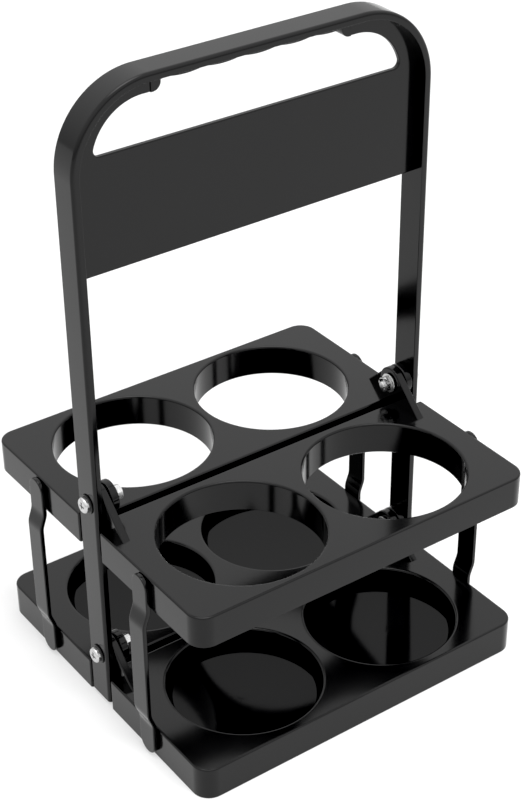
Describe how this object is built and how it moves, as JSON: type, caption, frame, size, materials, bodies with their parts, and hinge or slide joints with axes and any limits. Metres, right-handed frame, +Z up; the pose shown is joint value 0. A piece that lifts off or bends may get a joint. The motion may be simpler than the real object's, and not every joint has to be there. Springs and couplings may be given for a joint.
{
  "type": "folding cup carrier",
  "caption": "Upright handle frame with hinged half trays: round cup holes above, sunk seats below, held level by side links so the trays fold up beside the frame.",
  "frame": {"origin": "centre of the footprint, on the floor", "axes": "+Z up; +X along the hinge lines, to the right seen from the front; +Y towards the back trays"},
  "size_m": [0.2022, 0.1816, 0.323],
  "materials": {
    "black_plastic": "glossy black",
    "washer_plastic": "matt black",
    "bright_zinc": "bright zinc plate",
    "ring_steel": "spring steel"
  },
  "bodies": {
    "frame": {"handle_frame": "black_plastic", "upper_left_bolt": "bright_zinc", "upper_right_bolt": "bright_zinc", "lower_left_bolt": "bright_zinc", "lower_right_bolt": "bright_zinc", "upper_left_nut": "bright_zinc", "upper_right_nut": "bright_zinc", "lower_left_nut": "bright_zinc", "lower_right_nut": "bright_zinc", "outer_washers": "washer_plastic", "inner_washers": "bright_zinc"},
    "front_upper": {"front_upper_tray": "black_plastic"},
    "back_upper": {"back_upper_tray": "black_plastic"},
    "front_lower": {"front_lower_tray": "black_plastic"},
    "back_lower": {"back_lower_tray": "black_plastic"},
    "front_left_arm": {"front_left_link": "black_plastic", "front_left_rings": "ring_steel"},
    "front_right_arm": {"front_right_link": "black_plastic", "front_right_rings": "ring_steel"},
    "back_left_arm": {"back_left_link": "black_plastic", "back_left_rings": "ring_steel"},
    "back_right_arm": {"back_right_link": "black_plastic", "back_right_rings": "ring_steel"}
  },
  "joints": [
    {"name": "front_fold", "type": "hinge", "parent": "frame", "child": "front_upper", "pos_m": [0, 0, 0.119], "axis": [-1, 0, 0], "range_deg": [0, 90]},
    {"name": "back_fold", "type": "hinge", "parent": "frame", "child": "back_upper", "pos_m": [0, 0, 0.119], "axis": [1, 0, 0], "range_deg": [0, 90]},
    {"name": "front_lower_fold", "type": "hinge", "parent": "frame", "child": "front_lower", "pos_m": [0, 0, 0.029], "axis": [-1, 0, 0], "range_deg": [0, 90]},
    {"name": "back_lower_fold", "type": "hinge", "parent": "frame", "child": "back_lower", "pos_m": [0, 0, 0.029], "axis": [1, 0, 0], "range_deg": [0, 90]},
    {"name": "front_left_swing", "type": "hinge", "parent": "front_upper", "child": "front_left_arm", "pos_m": [-0.0975, -0.0465, 0.0995], "axis": [-1, 0, 0], "range_deg": [-90, 0]},
    {"name": "front_right_swing", "type": "hinge", "parent": "front_upper", "child": "front_right_arm", "pos_m": [0.0975, -0.0465, 0.0995], "axis": [-1, 0, 0], "range_deg": [-90, 0]},
    {"name": "back_left_swing", "type": "hinge", "parent": "back_upper", "child": "back_left_arm", "pos_m": [-0.0975, 0.0465, 0.0995], "axis": [1, 0, 0], "range_deg": [-90, 0]},
    {"name": "back_right_swing", "type": "hinge", "parent": "back_upper", "child": "back_right_arm", "pos_m": [0.0975, 0.0465, 0.0995], "axis": [1, 0, 0], "range_deg": [-90, 0]}
  ],
  "couplings": [
    {"joint": "front_lower_fold", "follows": "front_fold", "ratio": 1},
    {"joint": "back_lower_fold", "follows": "back_fold", "ratio": 1},
    {"joint": "front_left_swing", "follows": "front_fold", "ratio": -1},
    {"joint": "front_right_swing", "follows": "front_fold", "ratio": -1},
    {"joint": "back_left_swing", "follows": "back_fold", "ratio": -1},
    {"joint": "back_right_swing", "follows": "back_fold", "ratio": -1}
  ]
}
